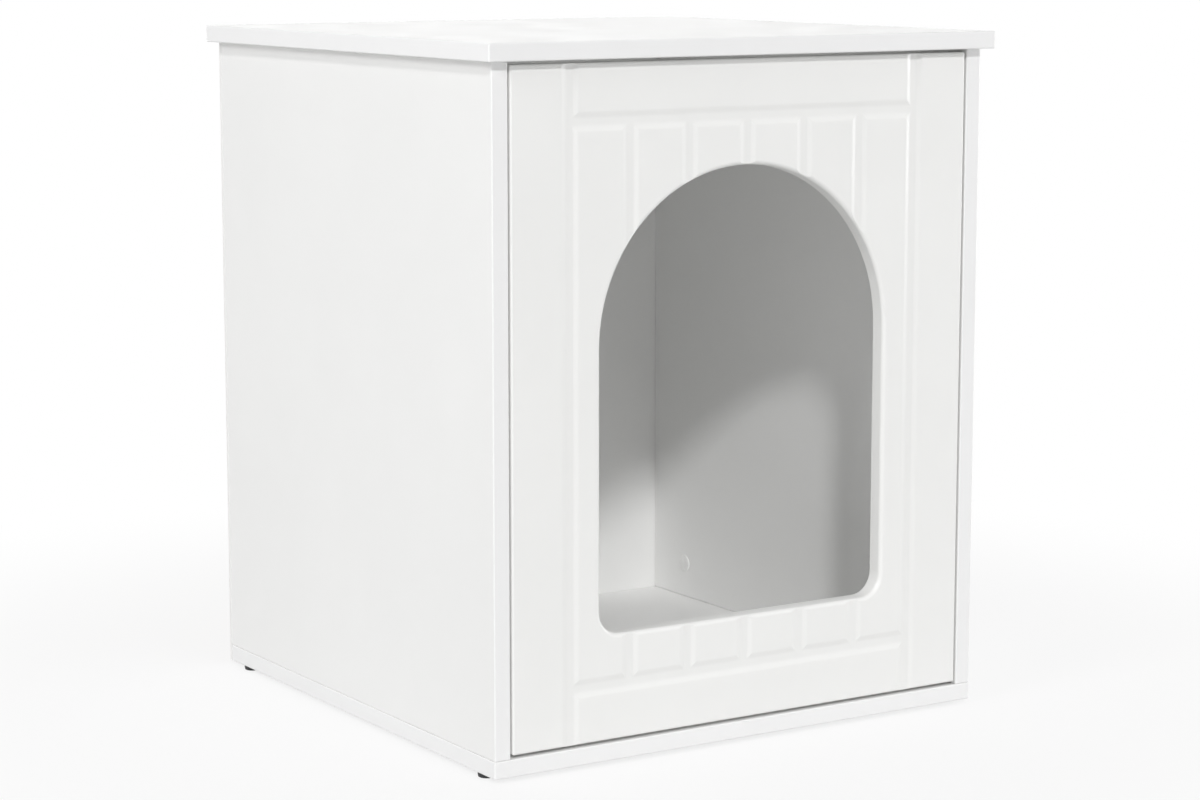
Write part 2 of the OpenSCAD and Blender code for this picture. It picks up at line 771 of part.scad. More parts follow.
// A cam is open on the side where the bolt comes in, with a cross in its face
module cam_locks() {
    color(zinc) for (s = [-1, 1], y = cam_ys, e = [0, 1])
        translate([s * inner_x, y, e == 0 ? floor_z + cam_setback : ceiling_z - cam_setback])
            mirror([0, 0, e]) rotate([0, s * 90, 0]) difference() {
                cylinder(d = cam_d, h = cam_depth);
                translate([s > 0 ? -1 : -cam_d / 2 - 1, -cam_slot / 2, (board_t - cam_slot) / 2])
                    cube([cam_d / 2 + 2, cam_slot, cam_slot]);
                for (a = [0, 90]) rotate(a) translate([-3.5, -0.7, -1]) cube([7, 1.4, 2.6]);
            }
}

module cam_caps() {
    color(white) at_cams() rotate_extrude() polygon([
        [0, 0], [0, -cap_t], [cap_d * 0.42, -cap_t], [cap_d / 2, -cap_t * 0.45], [cap_d / 2, 0]
    ]);
}

module dowels() {
    up = dowel_len - dowel_in_board;
    r = dowel_d / 2;
    color(beech) at_joints(dowel_ys) rotate_extrude() polygon([
        [0, -dowel_in_board], [r - 1, -dowel_in_board], [r, -dowel_in_board + 1.5],
        [r, up - 1.5], [r - 1, up], [0, up]
    ]);
}

// Feet

// +Z points up into the bottom board from its underside
module at_feet() {
    for (x = [-foot_x, foot_x], y = foot_ys) translate([x, y, foot_h]) children();
}

module foot(x, y) {
    r = foot_d / 2;
    color(black) translate([x, y, 0]) rotate_extrude() polygon([
        [nail_d / 2 + hole_gap, foot_web], [2.2, foot_web], [2.2, 0], [r - 1.2, 0], [r - 0.4, 0.5],
        [r, foot_h - 1.2], [r, foot_h], [nail_d / 2 + hole_gap, foot_h]
    ]);
}

module front_left_foot() { foot(-foot_x, foot_ys[0]); }
module front_right_foot() { foot(foot_x, foot_ys[0]); }
module back_left_foot() { foot(-foot_x, foot_ys[1]); }
module back_right_foot() { foot(foot_x, foot_ys[1]); }

module foot_nails() {
    color(steel) at_feet() translate([0, 0, foot_web - foot_h])
        nail(foot_h - foot_web + foot_nail_len, 4);
}

top_board();
bottom_board();
left_side_panel();
right_side_panel();
back_panel();
door();
upper_hinge_cup();
upper_hinge_pin();
upper_hinge_arm();
upper_mounting_plate();
lower_hinge_cup();
lower_hinge_pin();
lower_hinge_arm();
lower_mounting_plate();
cup_screws();
plate_screws();
arm_fixing_screws();
side_adjusting_screws();
catch_housing();
catch_magnet();
catch_pole_plates();
catch_screws();
strike_plate();
strike_screw();
cam_bolts();
cam_locks();
cam_caps();
dowels();
front_left_foot();
front_right_foot();
back_left_foot();
back_right_foot();
foot_nails();
back_panel_nails();
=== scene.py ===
"""The looks of a flat-pack cat house: boards, routed door, cup hinges, magnetic catch, fittings and feet."""

import json
import math

import bpy
from bpy.props import FloatProperty, FloatVectorProperty, PointerProperty
from mathutils import Euler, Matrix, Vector

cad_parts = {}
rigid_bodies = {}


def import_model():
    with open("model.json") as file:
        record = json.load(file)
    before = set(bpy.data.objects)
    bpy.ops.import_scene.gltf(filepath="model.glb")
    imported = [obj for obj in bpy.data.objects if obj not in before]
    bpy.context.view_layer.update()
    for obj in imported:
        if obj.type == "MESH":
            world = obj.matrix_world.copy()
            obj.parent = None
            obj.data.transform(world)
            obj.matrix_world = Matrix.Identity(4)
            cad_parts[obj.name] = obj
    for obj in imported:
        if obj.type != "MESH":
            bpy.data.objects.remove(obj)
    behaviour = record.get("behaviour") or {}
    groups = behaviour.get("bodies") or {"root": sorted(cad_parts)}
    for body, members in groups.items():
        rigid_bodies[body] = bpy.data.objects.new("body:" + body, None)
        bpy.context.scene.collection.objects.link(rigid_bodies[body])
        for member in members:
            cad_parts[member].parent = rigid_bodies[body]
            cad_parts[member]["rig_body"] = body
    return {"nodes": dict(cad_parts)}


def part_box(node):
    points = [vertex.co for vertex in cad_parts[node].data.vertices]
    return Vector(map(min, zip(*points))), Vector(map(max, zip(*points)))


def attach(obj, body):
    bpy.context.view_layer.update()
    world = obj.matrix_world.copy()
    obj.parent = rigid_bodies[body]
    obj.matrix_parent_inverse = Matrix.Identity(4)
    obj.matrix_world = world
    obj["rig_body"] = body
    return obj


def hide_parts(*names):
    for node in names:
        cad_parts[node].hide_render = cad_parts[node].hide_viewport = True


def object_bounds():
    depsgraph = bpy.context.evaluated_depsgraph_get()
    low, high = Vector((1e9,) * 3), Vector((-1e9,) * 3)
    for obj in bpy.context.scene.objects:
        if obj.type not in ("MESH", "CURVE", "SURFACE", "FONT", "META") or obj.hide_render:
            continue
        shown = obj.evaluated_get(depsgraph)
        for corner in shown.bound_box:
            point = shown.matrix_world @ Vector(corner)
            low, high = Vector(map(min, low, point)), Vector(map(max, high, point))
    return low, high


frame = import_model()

bl_info = {
    "name": "Cat House",
    "version": (1, 0, 0),
    "blender": (4, 5, 0),
    "location": "View3D > Sidebar > Cat House",
    "description": "Finishes a flat-pack cat house and sets it on a studio floor",
    "category": "Object",
}

MM = 0.001
X, Y, Z = 0, 1, 2
ORIGIN = (0.0, 0.0, 0.0)
EVEN = (1.0, 1.0, 1.0)
WHITE = (1.0, 1.0, 1.0, 1.0)

# Places in the CAD model

CAD_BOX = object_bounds()
MIDDLE = (CAD_BOX[0] + CAD_BOX[1]) / 2
DOOR_LOW, DOOR_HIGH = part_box("door")
TOP_LOW, TOP_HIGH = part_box("top_board")
BOTTOM_LOW, BOTTOM_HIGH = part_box("bottom_board")
BACK_LOW, BACK_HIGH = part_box("back_panel")

# How close two points, two radii or two heights are to count as one

SAME_POINT = 0.001 * MM
SAME_RADIUS = 0.02 * MM
SAME_HEIGHT = 0.01 * MM

# From how many degrees an edge is rounded on a softened piece, and stays sharp on a screw or cap and a dowel

ROUNDED_TURN = 28
CRISP_TURN = 32
DOWEL_TURN = 40

# How wide the eased edges of the pieces are

CUP_EDGE = 0.2 * MM
ARM_EDGE = 0.25 * MM
HOUSING_EDGE = 0.35 * MM
MAGNET_EDGE = 0.2 * MM
PLATE_EDGE = 0.15 * MM
FOOT_EDGE = 0.15 * MM
TURNED_EDGE = 0.12 * MM

# How far each thread climbs in one turn

WOOD_THREAD = 1.35 * MM
PLATE_THREAD = 2.2 * MM
MACHINE_THREAD = 0.9 * MM
BOLT_THREAD = 1.9 * MM

# Where the light of each lamp falls, and how far and how wide the lamps are in metres

KEY_DIRECTION = (0.374, 0.738, -0.562)
LEFT_DIRECTION = (0.8, 0.25, -0.55)
RIGHT_DIRECTION = (-0.95, 0.27, -0.12)
BACK_DIRECTION = (-0.5, -0.85, -0.1)
INWARD = (0.0, 1.0, 0.0)
LAMP_DISTANCE = 3.0
SIDE_PANEL_SIZE = 1.2
BACK_PANEL_SIZE = 3.0
INSIDE_PANEL_SIZE = 0.26
INSIDE_PANEL_GAP = 0.03
ARCH_MIDDLE_HEIGHT = 0.308

# The size of the floor, and how far from the object its shadow starts and stops fading to white

FLOOR_SIZE = 80.0
FADE_START = 0.45
FADE_END = 1.0


# What the materials are made of


def add_node(tree, kind, inputs=None, **settings):
    """Adds a shader node, sets its properties, and gives its inputs a value or a link."""
    node = tree.nodes.new("ShaderNode" + kind)
    for name, value in settings.items():
        setattr(node, name, value)
    for name, value in (inputs or {}).items():
        socket = node.inputs[name]
        if isinstance(value, bpy.types.NodeSocket):
            tree.links.new(value, socket)
        else:
            socket.default_value = value
    return node


def maths(tree, operation, first, second=0.0):
    """A Math node's result."""
    return add_node(tree, "Math", {0: first, 1: second}, operation=operation).outputs[0]


def ramp(tree, value, start, end, low=0.0, high=1.0):
    """Value brought from start..end to low..high, smoothly and without going past them."""
    inputs = {"Value": value, "From Min": start, "From Max": end, "To Min": low, "To Max": high}
    return add_node(tree, "MapRange", inputs, interpolation_type="SMOOTHSTEP").outputs[0]


def between(tree, mask, low, high):
    """Low where the mask is 0, and high where it is 1."""
    return ramp(tree, mask, 0.0, 1.0, low, high)


def object_place(tree, stretch=EVEN):
    """Object coordinates in metres, stretched along an axis where a pattern has a grain."""
    coordinates = add_node(tree, "TexCoord").outputs["Object"]
    if tuple(stretch) == EVEN:
        return coordinates
    return add_node(tree, "Mapping", {"Vector": coordinates, "Scale": stretch}).outputs[0]


def place_along(tree):
    """The place along X, Y and Z in metres, each a socket of its own."""
    return add_node(tree, "SeparateXYZ", {0: object_place(tree)}).outputs


def grain(tree, size, detail=2.0, stretch=EVEN, roughness=0.5):
    """Noise from 0 to 1 whose bumps are about size metres across."""
    place = object_place(tree, stretch)
    inputs = {"Vector": place, "Scale": 1 / size, "Detail": detail, "Roughness": roughness}
    return add_node(tree, "TexNoise", inputs).outputs["Fac"]


def patches(tree, size, detail=3.0, low=0.0, high=1.0):
    """Soft patches about size metres across, whose values go from low to high."""
    return ramp(tree, grain(tree, size, detail), 0.3, 0.7, low, high)


def over(tree, mask, below, above):
    """One colour over another, by a mask. Each is a socket, or a colour with its alpha. The Mix node keeps
    its two colours in inputs 6 and 7, and the mixed one in output 2."""
    return add_node(tree, "Mix", {"Factor": mask, 6: below, 7: above}, data_type="RGBA").outputs[2]


def tint(tree, mask, colour, other):
    """Colour where the mask is 0, and the other one where it is 1."""
    return over(tree, mask, (*colour, 1.0), (*other, 1.0))


def shade(colour, factor):
    """A colour made lighter or darker."""
    return tuple(min(1.0, part * factor) for part in colour)


def emboss(tree, *layers):
    """Bumps on top of each other, each a height from 0 to 1 and its depth in metres."""
    normal = None
    for height, depth in layers:
        inputs = {"Height": height, "Distance": depth, "Strength": 1.0}
        if normal is not None:
            inputs["Normal"] = normal
        normal = add_node(tree, "Bump", inputs).outputs[0]
    return normal


def new_surface(name, colour, roughness, metallic=0.0, **constants):
    """A Principled material, with what is the same all over set on the shader's own sockets."""
    material = bpy.data.materials.new(name)
    material.use_nodes = True
    material.diffuse_color = (*colour, 1.0)
    tree = material.node_tree
    shader = tree.nodes["Principled BSDF"]
    shader.inputs["Base Color"].default_value = (*colour, 1.0)
    shader.inputs["Roughness"].default_value = roughness
    shader.inputs["Metallic"].default_value = metallic
    for socket, value in constants.items():
        shader.inputs[socket.replace("_", " ")].default_value = value
    return material, tree, shader


def plug(tree, shader, colour, roughness, normal):
    """Joins what varies over the surface to the shader."""
    for socket, value in (("Base Color", colour), ("Roughness", roughness), ("Normal", normal)):
        tree.links.new(value, shader.inputs[socket])


# Finishes of wood and board


def edge_distance(tree, edges):
    """How far a point is from the nearest of the banded faces, each an axis and its place."""
    place = place_along(tree)
    nearest = None
    for axis, position in edges:
        gap = maths(tree, "ABSOLUTE", maths(tree, "SUBTRACT", place[axis], position))
        nearest = gap if nearest is None else maths(tree, "MINIMUM", nearest, gap)
    return nearest


def coated_board(name, edges, look):
    """Pearled coating on the faces, smoother bands on the edges, and a fine glue line between them."""
    material, tree, shader = new_surface(name, look.colour, look.roughness)
    depth = edge_distance(tree, edges)
    half = look.seam_width / 2
    band = ramp(tree, depth, look.band_thickness + half, look.band_thickness - half)
    offset = maths(tree, "ABSOLUTE", maths(tree, "SUBTRACT", depth, look.band_thickness))
    seam = ramp(tree, offset, look.seam_width, 0.0)
    cloud = patches(tree, size=0.16)
    coating = tint(tree, cloud, look.colour, shade(look.colour, 0.985))
    edging = tint(tree, cloud, look.band_colour, shade(look.band_colour, 0.99))
    glue = tint(tree, seam, look.colour, look.glue_colour)
    colour = over(tree, maths(tree, "MULTIPLY", seam, 0.5), over(tree, band, coating, edging), glue)
    gloss = patches(tree, 0.05, detail=2.0, low=look.roughness - 0.05, high=look.roughness + 0.05)
    roughness = maths(tree, "SUBTRACT", gloss, maths(tree, "MULTIPLY", band, 0.1))
    waves = grain(tree, size=0.045, detail=1.0)
    pearl = grain(tree, look.pearl_size, detail=1.0)
    pearl_on_face = maths(tree, "MULTIPLY", pearl, maths(tree, "SUBTRACT", 1.0, band))
    dip = maths(tree, "SUBTRACT", 1.0, seam)
    normal = emboss(tree, (waves, 0.12 * MM), (pearl_on_face, look.pearl_depth), (dip, 0.04 * MM))
    plug(tree, shader, colour, roughness, normal)
    return material


def hardboard(look):
    """Lacquer on the inner face of the back, and bare brown fibre on its outer face."""
    material, tree, shader = new_surface("hardboard", look.lacquer, roughness=0.55)
    bare = ramp(tree, place_along(tree)["Y"], BACK_HIGH.y - 0.2 * MM, BACK_HIGH.y - 0.05 * MM)
    fibres = grain(tree, look.fibre_size, detail=4.0, stretch=(1.0, 1.0, 0.35), roughness=0.7)
    flecks = ramp(tree, fibres, 0.35, 0.65)
    blotches = patches(tree, size=0.09)
    fibre = tint(tree, flecks, look.fibre, shade(look.fibre, 0.62))
    faded = tint(tree, flecks, shade(look.fibre, 1.3), look.fibre)
    outside = over(tree, maths(tree, "MULTIPLY", blotches, 0.35), fibre, faded)
    inside = tint(tree, blotches, look.lacquer, shade(look.lacquer, 0.98))
    satin = between(tree, flecks, 0.48, 0.56)
    roughness = maths(tree, "ADD", maths(tree, "MULTIPLY", bare, 0.25), satin)
    strength = maths(tree, "ADD", maths(tree, "MULTIPLY", bare, 0.85), 0.15)
    relief = maths(tree, "MULTIPLY", flecks, strength)
    waves = grain(tree, size=0.03, detail=1.0)
    normal = emboss(tree, (relief, 0.06 * MM), (waves, 0.1 * MM))
    plug(tree, shader, over(tree, bare, inside, outside), roughness, normal)
    return material


def door_foil(look):
    """Satin foil with a fine peel, and painted shade that makes it a little darker deeper in the grooves."""
    material, tree, shader = new_surface("door_foil", look.colour, look.roughness, Coat_Weight=0.08)
    cloud = patches(tree, size=0.12)
    # Painted shade: a mask that rises with the depth into the grooves, so the foil's colour darkens there.
    groove_shade_mask = ramp(tree, place_along(tree)["Y"], DOOR_LOW.y + 0.2 * MM, DOOR_LOW.y + 1.3 * MM)
    face = tint(tree, cloud, look.colour, shade(look.colour, 0.985))
    # The darker foil tone of the painted groove shade, mixed in at up to 0.4 of the mask.
    groove = tint(tree, cloud, shade(look.colour, 0.97), shade(look.colour, 0.98))
    colour = over(tree, maths(tree, "MULTIPLY", groove_shade_mask, 0.4), face, groove)
    gloss = patches(tree, 0.04, detail=2.0, low=look.roughness - 0.04, high=look.roughness + 0.05)
    waves = grain(tree, size=0.035, detail=1.0)
    peel = grain(tree, look.peel_size, detail=1.5)
    normal = emboss(tree, (waves, 0.15 * MM), (peel, look.peel_depth))
    plug(tree, shader, colour, gloss, normal)
    return material


def turned_beech(colour):
    """Beech with its grain and short dark flecks along the dowel."""
    material, tree, shader = new_surface("beech", colour, roughness=0.62)
    rings = ramp(tree, grain(tree, 1.6 * MM, 3.0, stretch=(1.0, 1.0, 0.08)), 0.35, 0.65)
    flecks = ramp(tree, grain(tree, 0.5 * MM, 2.0, stretch=(1.0, 1.0, 0.16)), 0.62, 0.74)
    wood = tint(tree, rings, colour, shade(colour, 0.8))
    rays = tint(tree, rings, shade(colour, 0.5), shade(colour, 0.4))
    marked = over(tree, maths(tree, "MULTIPLY", flecks, 0.6), wood, rays)
    normal = emboss(tree, (rings, 0.05 * MM), (flecks, 0.03 * MM))
    plug(tree, shader, marked, between(tree, rings, 0.55, 0.7), normal)
    return material


# Finishes of metal and plastic


def plated(name, colour, roughness, streaks, streak_depth=0.006 * MM):
    """Plate over brushed or pressed metal, with streaks along one axis and faint stains."""
    material, tree, shader = new_surface(name, colour, roughness, metallic=1.0)
    stretch = list(EVEN)
    stretch[streaks] = 0.06
    brush = grain(tree, size=0.25 * MM, detail=3.0, stretch=stretch)
    stains = ramp(tree, grain(tree, size=6 * MM, detail=3.0), 0.35, 0.7)
    tone = tint(tree, stains, colour, shade(colour, 0.82))
    gloss = between(tree, stains, roughness - 0.06, roughness + 0.12)
    plug(tree, shader, tone, gloss, emboss(tree, (brush, streak_depth)))
    return material


def sintered(name, colour):
    """A dull sintered magnet with paler specks."""
    material, tree, shader = new_surface(name, colour, roughness=0.6)
    specks = ramp(tree, grain(tree, size=0.5 * MM, detail=4.0), 0.5, 0.75)
    tone = tint(tree, specks, colour, shade(colour, 2.4))
    plug(tree, shader, tone, between(tree, specks, 0.5, 0.75), emboss(tree, (specks, 0.03 * MM)))
    return material


def moulded(name, colour, roughness):
    """Moulded plastic with a fine spark-eroded grain."""
    material, tree, shader = new_surface(name, colour, roughness)
    speckle = grain(tree, size=0.35 * MM)
    haze = patches(tree, size=8 * MM, detail=2.0)
    tone = tint(tree, haze, colour, shade(colour, 0.93))
    gloss = between(tree, haze, roughness - 0.04, roughness + 0.07)
    plug(tree, shader, tone, gloss, emboss(tree, (speckle, 0.02 * MM)))
    return material


# Work on one piece


def alone(piece):
    """Makes a piece the only one selected."""
    bpy.ops.object.select_all(action="DESELECT")
    piece.select_set(True)
    bpy.context.view_layer.objects.active = piece
    return piece


def pick(piece, wanted):
    """Selects, in edit mode, the points of a piece whose place passes the test."""
    bpy.ops.object.mode_set(mode="EDIT")
    bpy.ops.mesh.select_mode(type="VERT")
    bpy.ops.mesh.select_all(action="DESELECT")
    bpy.ops.object.mode_set(mode="OBJECT")
    for vertex in piece.data.vertices:
        vertex.select = wanted(vertex.co)
    bpy.ops.object.mode_set(mode="EDIT")


def smoothed(piece, degrees):
    """Smooths the shading of a piece, except across edges that turn by more than so many degrees."""
    alone(piece)
    bpy.ops.object.shade_smooth_by_angle(angle=math.radians(degrees))
    return piece


def softened(piece, width, segments=2):
    """Rounds the sharp edges of a piece. The flats beside a rounded edge keep their own normals."""
    rounding = smoothed(piece, ROUNDED_TURN).modifiers.new("rounding", "BEVEL")
    rounding.width = width
    rounding.segments = segments
    rounding.limit_method = "ANGLE"
    rounding.angle_limit = math.radians(ROUNDED_TURN)
    rounding.harden_normals = True
    bpy.ops.object.modifier_apply(modifier=rounding.name)
    return piece


def cut(piece, tool):
    """The piece with the tool's shape cut out of it. The tool is used up."""
    change = alone(piece).modifiers.new("cut", "BOOLEAN")
    change.operation = "DIFFERENCE"
    change.object = tool
    change.solver = "EXACT"
    bpy.ops.object.modifier_apply(modifier=change.name)
    bpy.data.objects.remove(tool)
    return piece


def drawn(points):
    """A line from point to point, each a radius and a height, left in edit mode."""
    bpy.ops.object.select_all(action="DESELECT")
    bpy.ops.mesh.primitive_plane_add(size=MM)
    piece = bpy.context.object
    bpy.ops.object.mode_set(mode="EDIT")
    bpy.ops.mesh.merge(type="CENTER")
    bpy.ops.transform.translate(value=(points[0][0], 0.0, points[0][1]))
    for (radius, height), (next_radius, next_height) in zip(points, points[1:]):
        step = (next_radius - radius, 0.0, next_height - height)
        bpy.ops.mesh.extrude_region_move(TRANSFORM_OT_translate={"value": step})
    bpy.ops.mesh.select_all(action="SELECT")
    return piece


def turned(points, steps=32):
    """A piece turned about Z, from an outline that starts and ends on the axis or is closed."""
    piece = drawn(points)
    bpy.ops.mesh.spin(steps=steps, angle=2 * math.pi, center=ORIGIN, axis=(0.0, 0.0, 1.0))
    bpy.ops.mesh.select_all(action="SELECT")
    bpy.ops.mesh.remove_doubles(threshold=SAME_POINT)
    bpy.ops.mesh.normals_make_consistent(inside=False)
    bpy.ops.object.mode_set(mode="OBJECT")
    return piece


def wound(outline, pitch, turns, steps=20):
    """A closed outline wound round Z, one pitch up in each turn."""
    piece = drawn(outline)
    bpy.ops.mesh.edge_face_add()
    bpy.ops.mesh.delete(type="ONLY_FACE")
    bpy.ops.object.mode_set(mode="OBJECT")
    coil = piece.modifiers.new("coil", "SCREW")
    coil.screw_offset = pitch
    coil.iterations = turns
    coil.steps = coil.render_steps = steps
    bpy.ops.object.modifier_apply(modifier=coil.name)
    bpy.ops.object.mode_set(mode="EDIT")
    bpy.ops.mesh.select_all(action="SELECT")
    bpy.ops.mesh.fill_holes(sides=len(outline))
    bpy.ops.mesh.select_all(action="SELECT")
    bpy.ops.mesh.normals_make_consistent(inside=False)
    bpy.ops.object.mode_set(mode="OBJECT")
    return piece


def thread_cut(piece, radius, depth, pitch, low, high):
    """Cuts a thread into a shank between two heights. The groove takes four fifths of the pitch, and its
    floor two fifths."""
    outside = radius + 0.1 * MM
    groove = [(outside, low), (radius - depth, low + 0.2 * pitch)]
    groove += [(radius - depth, low + 0.6 * pitch), (outside, low + 0.8 * pitch)]
    turns = max(1, int((high - low) / pitch - 0.8))
    return cut(piece, wound(groove, pitch, turns))


def cross_sunk(piece, top, reach, depth):
    """Sinks a cross into the top of a piece that stands on Z, out of two bars that narrow to their foot."""
    for turn in (0.0, math.pi / 2):
        bpy.ops.object.select_all(action="DESELECT")
        bpy.ops.mesh.primitive_cube_add(size=1.0)
        bar = bpy.context.object
        bpy.ops.object.mode_set(mode="EDIT")
        bpy.ops.transform.resize(value=(2 * reach, 0.36 * reach, 2 * depth))
        pick(bar, lambda point: point.z < 0)
        bpy.ops.transform.resize(value=(0.4, 0.6, 1.0), center_override=ORIGIN)
        bpy.ops.mesh.select_all(action="SELECT")
        bpy.ops.transform.rotate(value=turn, orient_axis="Z", center_override=ORIGIN)
        bpy.ops.transform.translate(value=(0.0, 0.0, top))
        bpy.ops.object.mode_set(mode="OBJECT")
        cut(piece, bar)
    return piece


# Outlines of turned solids, in points that are each a radius and a height


def middle_of(points):
    """The middle of the box round some places."""
    return Vector([(min(p[axis] for p in points) + max(p[axis] for p in points)) / 2 for axis in (X, Y, Z)])


def profile_of(points, axis, up):
    """The outline of a turned solid, from its lowest level up: each point's radius, to a hundredth of a
    millimetre, and its height over the middle of the solid's box."""
    middle = middle_of(points)
    levels = {}
    for point in points:
        away = point - middle
        height = round(up * away[axis], 6)
        away[axis] = 0.0
        levels.setdefault(height, set()).add(round(away.length, 5))
    outline = [(0.0, min(levels))]
    for height in sorted(levels):
        last_radius = outline[-1][0]
        nearest_first = sorted(levels[height], key=lambda radius: abs(radius - last_radius))
        outline += [(radius, height) for radius in nearest_first]
    return outline + [(0.0, max(levels))]


def widest(outline):
    """The largest radius of an outline."""
    return max(radius for radius, height in outline)


def below(outline, limit):
    """The points of an outline under a height."""
    return [(radius, height) for radius, height in outline if height < limit]


def highest_at(outline, wanted):
    """The largest height at which an outline has a radius."""
    return max(height for radius, height in outline if abs(radius - wanted) < SAME_RADIUS)


def rounded_rim(wide, low, rise, inner, start, lift, end=90):
    """A rim that curves in and up from its widest point to an angle in degrees. It curves in to the inner
    share of the width. Its start and lift are shares of the rise."""
    rim = []
    for degrees in range(0, end + 1, 15):
        across, up = math.cos(math.radians(degrees)), math.sin(math.radians(degrees))
        rim.append((wide * (inner + (1 - inner) * across), low + rise * (start + lift * up)))
    return rim


# Screws, nails and turned fittings


def screw(pitch, point=1.2, domed=True):
    """A maker of screws from their plain outline. The shank gets a thread and a point, as long as so many
    shank radii. The head gets a cross and, where it is domed, a rounded rim. The seat is the underside of
    the head, and the neck is the upper end of the shank."""

    def make(outline):
        head = widest(outline)
        tip, top = outline[0][1], outline[-1][1]
        seat = min(height for radius, height in outline if radius > 0.98 * head)
        shank = widest(below(outline, seat - 0.3 * MM))
        neck = highest_at(outline, shank)
        full = tip + point * shank
        shape = [(0.0, tip), (0.25 * shank, tip + 0.1 * MM), (shank, full)]
        if domed:
            shape += [(shank, seat), (0.97 * head, seat)]
            shape += rounded_rim(head, seat, top - seat, inner=0.5, start=0.25, lift=0.75)
        else:
            sides = [(radius, height) for radius, height in outline if radius > 0.99 * shank]
            shape += [(radius, height) for radius, height in sides if height > full]
        piece = turned(shape + [(0.0, top)])
        thread_cut(piece, shank, 0.27 * shank, pitch, tip, neck - 0.4 * pitch)
        cross_depth = 0.6 * (top - seat) + (0.0 if domed else 0.3 * head)
        cross_sunk(piece, top, 0.56 * head, cross_depth)
        return smoothed(piece, CRISP_TURN)

    return make


def cam_bolt(outline):
    """A turned bolt with a coarse thread on its lower end and a cross in its head."""
    tip, top = outline[0][1], outline[-1][1]
    thread = widest(below(outline, tip + 10 * MM))
    end = highest_at(below(outline, tip + 12 * MM), thread)
    piece = turned(outline)
    thread_cut(piece, thread, 0.8 * MM, BOLT_THREAD, tip, end - 0.5 * MM)
    head = outline[-2][0]
    cross_sunk(piece, top, 0.6 * head, 1.2 * MM)
    return softened(piece, TURNED_EDGE, 1)


def nail(outline):
    """A nail with a softly rounded head."""
    return softened(turned(outline, 20), TURNED_EDGE)


def fluted_dowel(outline, steps=48, flutes=12):
    """A dowel with flutes pressed along it."""
    piece = turned(outline, steps)
    wide = widest(outline)

    def in_flute(point):
        step = round(math.atan2(point.y, point.x) / math.tau * steps)
        return step % (steps // flutes) == 0 and math.hypot(point.x, point.y) > 0.8 * wide

    pick(piece, in_flute)
    bpy.ops.transform.resize(value=(0.92, 0.92, 1.0), center_override=ORIGIN)
    bpy.ops.object.mode_set(mode="OBJECT")
    return smoothed(piece, DOWEL_TURN)


def moulded_foot(outline):
    """A foot with a nail hole, a recess for the nail's head and a ring pressed into its sole."""
    low, top = outline[0][1], outline[-1][1]
    hole = min(radius for radius, height in outline[1:-1] if height > top - SAME_HEIGHT)
    recess = min(radius for radius, height in outline[1:-1] if height < low + SAME_HEIGHT)
    roof = highest_at(outline, recess)
    outer = [(radius, height) for radius, height in outline if radius > 2 * recess]
    inner = [(hole, top), (hole, roof), (recess, roof), (recess, low)]
    pressed = low + 0.4 * MM
    ring = [(1.5 * recess, low), (1.6 * recess, pressed), (2.2 * recess, pressed), (2.3 * recess, low)]
    return softened(turned(outer + inner + ring + outer[:1], 40), FOOT_EDGE)


def cover_cap(outline):
    """A press-on cap: a low dome with a rounded rim and a fine ring round its middle."""
    wide = widest(outline)
    low, top = outline[0][1], outline[-1][1]
    rise = top - low
    shape = [(0.0, low), (wide, low)]
    shape += rounded_rim(wide, low, rise, inner=0.9, start=0.4, lift=0.4, end=75)
    ring = [(0.78, 0.88), (0.76, 0.74), (0.73, 0.74), (0.71, 0.9), (0.4, 0.97)]
    shape += [(across * wide, low + up * rise) for across, up in ring]
    return smoothed(turned(shape + [(0.0, top)], 48), CRISP_TURN)


# Pieces that stand for plain CAD solids


def dress(names, material):
    """Gives each CAD node the material."""
    for name in names:
        mesh = frame["nodes"][name].data
        mesh.materials.clear()
        mesh.materials.append(material)


def joined_copy(node):
    """A copy of a CAD node with its loose triangles joined, left in edit mode and all selected."""
    piece = frame["nodes"][node].copy()
    piece.data = piece.data.copy()
    bpy.context.scene.collection.objects.link(piece)
    alone(piece)
    bpy.ops.object.mode_set(mode="EDIT")
    bpy.ops.mesh.select_all(action="SELECT")
    bpy.ops.mesh.remove_doubles(threshold=SAME_POINT)
    return piece


def solids_of(node):
    """The points of each separate solid of a CAD node, in order of their place."""
    joined_copy(node)
    bpy.ops.mesh.separate(type="LOOSE")
    bpy.ops.object.mode_set(mode="OBJECT")
    parts = bpy.context.selected_objects
    solids = [[vertex.co.copy() for vertex in part.data.vertices] for part in parts]
    bpy.ops.object.delete()
    return sorted(solids, key=lambda points: [round(value, 4) for value in middle_of(points)])


def finished(piece, name, node, material):
    """Names a piece, gives it a material, and lets it ride on a node's body and stand for the node."""
    piece.name = piece.data.name = name
    piece.data.materials.clear()
    piece.data.materials.append(material)
    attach(piece, frame["nodes"][node]["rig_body"])
    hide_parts(node)


def placed(pattern, middle, axis, way):
    """A copy of a pattern with its middle at a place and its top along an axis, the way 1 or -1."""
    piece = pattern.copy()
    piece.data = pattern.data.copy()
    bpy.context.scene.collection.objects.link(piece)
    direction = Vector([way if other == axis else 0.0 for other in (X, Y, Z)])
    piece.location = middle
    piece.rotation_euler = direction.to_track_quat("Z", "Y").to_euler()
    alone(piece)
    bpy.ops.object.transform_apply(location=True, rotation=True, scale=True)
    return piece


def towards_middle(place, axis):
    """The way along an axis, 1 or -1, from a place to the middle of the cat house."""
    return 1 if place[axis] < MIDDLE[axis] else -1


def stand_in(node, make, axis, up, material):
    """Makes one pattern from a node's first solid, and places it wherever the node has a solid. The top of
    each points up the axis or down it, or the way that up works out from the solid's place."""
    solids = solids_of(node)
    ways = [up(middle_of(points), axis) if callable(up) else up for points in solids]
    pattern = make(profile_of(solids[0], axis, ways[0]))
    for number, (points, way) in enumerate(zip(solids, ways), 1):
        finished(placed(pattern, middle_of(points), axis, way), f"{node}_{number}", node, material)
    bpy.data.objects.remove(pattern)


